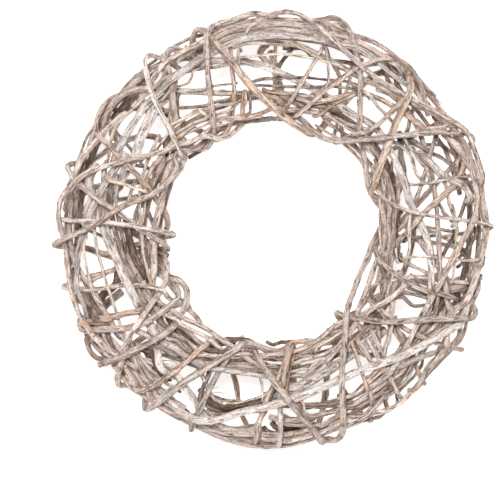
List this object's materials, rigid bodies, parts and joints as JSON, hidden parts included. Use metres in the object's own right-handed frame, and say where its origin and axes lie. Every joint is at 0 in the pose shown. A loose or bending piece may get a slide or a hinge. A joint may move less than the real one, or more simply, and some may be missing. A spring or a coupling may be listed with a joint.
{
  "type": "wooden wreath",
  "caption": "Round wreath of grey whitewashed vine rods, loosely woven into a hollow ring round an open middle, lying flat.",
  "frame": {"origin": "middle of the wreath's box, on the surface it lies on", "axes": "+Z along the ring's axis, out of its front; +Y towards its top as pictured; +X to the right"},
  "size_m": [0.3562, 0.3528, 0.0793],
  "materials": {
    "bark_grey": "matt, whitewashed bark",
    "peeled_pale": "matt, peeled and weathered",
    "bark_tan": "matt bark with tan patches",
    "straw": "matt, dry",
    "bark_dark": "matt bark"
  },
  "bodies": {
    "root": {"cut_rod_bottom": "bark_grey", "cut_rod_middle": "bark_tan", "cut_rod_right": "bark_grey", "hoop_back_inner_1": "bark_dark", "hoop_back_inner_2": "bark_dark", "hoop_back_inner_3": "bark_dark", "hoop_back_outer_1": "bark_dark", "hoop_back_outer_2": "bark_dark", "hoop_bottom_inner": "bark_grey", "hoop_bottom_left_inner": "bark_grey", "hoop_bottom_long": "peeled_pale", "hoop_bottom_middle": "bark_grey", "hoop_bottom_right": "bark_grey", "hoop_bottom_right_outer": "bark_grey", "hoop_inner_left": "bark_grey", "hoop_inner_right": "bark_dark", "hoop_inner_right_edge": "bark_grey", "hoop_inner_top": "bark_tan", "hoop_inner_top_left": "bark_grey", "hoop_left_outer": "bark_grey", "hoop_left_second": "bark_dark", "hoop_lower_left": "bark_dark", "hoop_outer_bottom": "bark_grey", "hoop_outer_bottom_edge": "bark_grey", "hoop_outer_right": "bark_grey", "hoop_outer_top_left": "bark_grey", "hoop_outer_top_right": "bark_grey", "hoop_right_outer_loop": "bark_grey", "hoop_top_right": "bark_grey", "hoop_top_right_chord": "bark_grey", "rod_right_long_slant": "bark_grey", "slab_bottom_pale": "peeled_pale", "slab_left_outer": "peeled_pale", "slab_left_pale": "peeled_pale", "slab_lower_left_short": "peeled_pale", "slab_top_outer": "peeled_pale", "slab_top_to_right": "peeled_pale", "stem_left_straw": "straw", "stem_left_thin": "straw", "wrap_bottom_bent": "bark_tan", "wrap_bottom_pale": "bark_grey", "wrap_bottom_to_lower_right": "bark_grey", "wrap_inner_chord": "bark_grey", "wrap_left_hole_loop": "bark_grey", "wrap_left_upper_long": "bark_grey", "wrap_lower_left_level": "bark_grey", "wrap_lower_left_loop": "bark_grey", "wrap_lower_right_thin": "bark_tan", "wrap_right_fork": "bark_tan", "wrap_right_lower_thin": "bark_grey", "wrap_right_thin": "bark_grey", "wrap_right_upper": "bark_grey", "wrap_top_left_upright": "bark_grey", "wrap_top_right_level": "bark_grey", "wrap_top_straight": "bark_grey", "wrap_top_to_left": "bark_tan", "wrap_top_to_upper_right": "bark_tan", "wrap_upper_left_pale": "peeled_pale", "wrap_upper_left_second": "bark_grey", "wrap_upper_left_to_upper_right": "bark_grey"}
  },
  "joints": []
}
